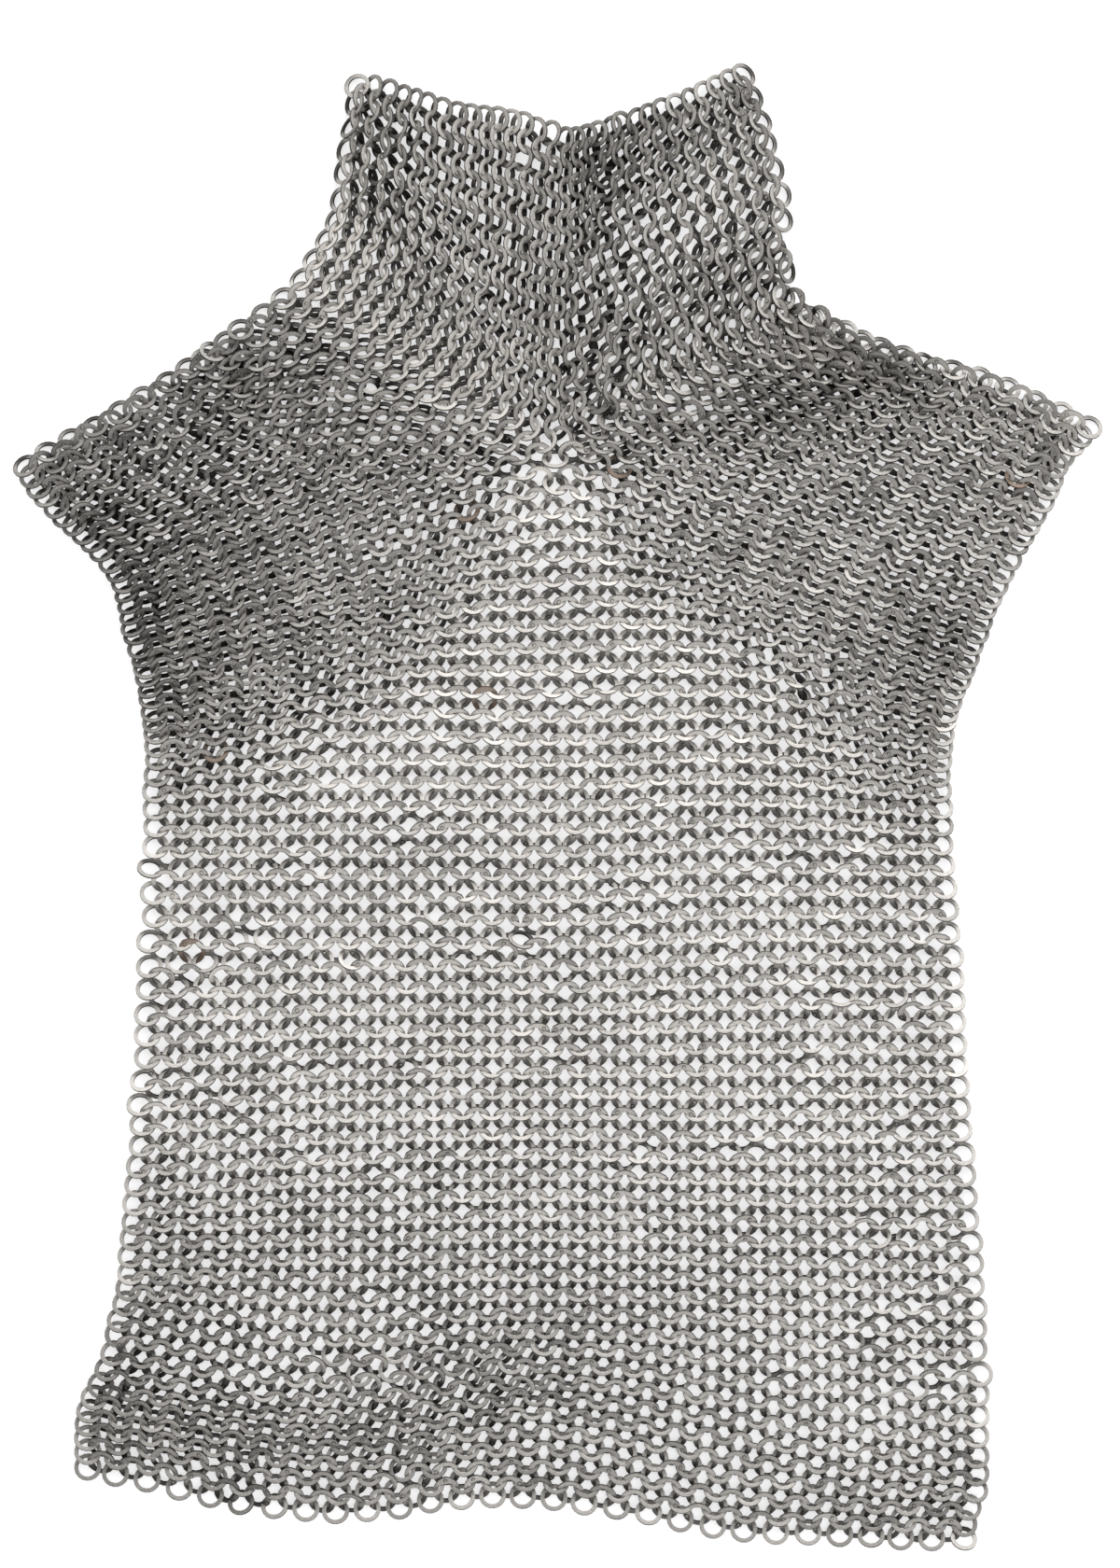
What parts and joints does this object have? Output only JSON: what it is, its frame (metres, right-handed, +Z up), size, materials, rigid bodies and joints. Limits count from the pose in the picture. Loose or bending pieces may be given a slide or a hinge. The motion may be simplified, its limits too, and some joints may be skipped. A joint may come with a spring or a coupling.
{
  "type": "mail voider",
  "caption": "Open sheet of riveted steel mail that covers the shoulder, armpit and side where plate armour leaves gaps, laid flat.",
  "frame": {"origin": "on the surface that the sheet lies on, under the middle of its bounding box", "axes": "+Y from the hem to the neck, +Z up out of the sheet, +X to the right of one who looks down on it with the neck at the top"},
  "size_m": [0.5384, 0.7328, 0.0141],
  "materials": {
    "mail_steel": "matt, tumbled, lightly oiled",
    "joining_steel": "matt, tumbled, with bright domed rivets",
    "hem_steel": "matt, tumbled, a little brighter"
  },
  "bodies": {
    "root": {"body_panel": "mail_steel", "left_yoke_panel": "mail_steel", "right_yoke_panel": "mail_steel", "left_joining_row": "joining_steel", "right_joining_row": "joining_steel", "neck_joining_row": "joining_steel", "hem_edge_row": "hem_steel"}
  },
  "joints": []
}
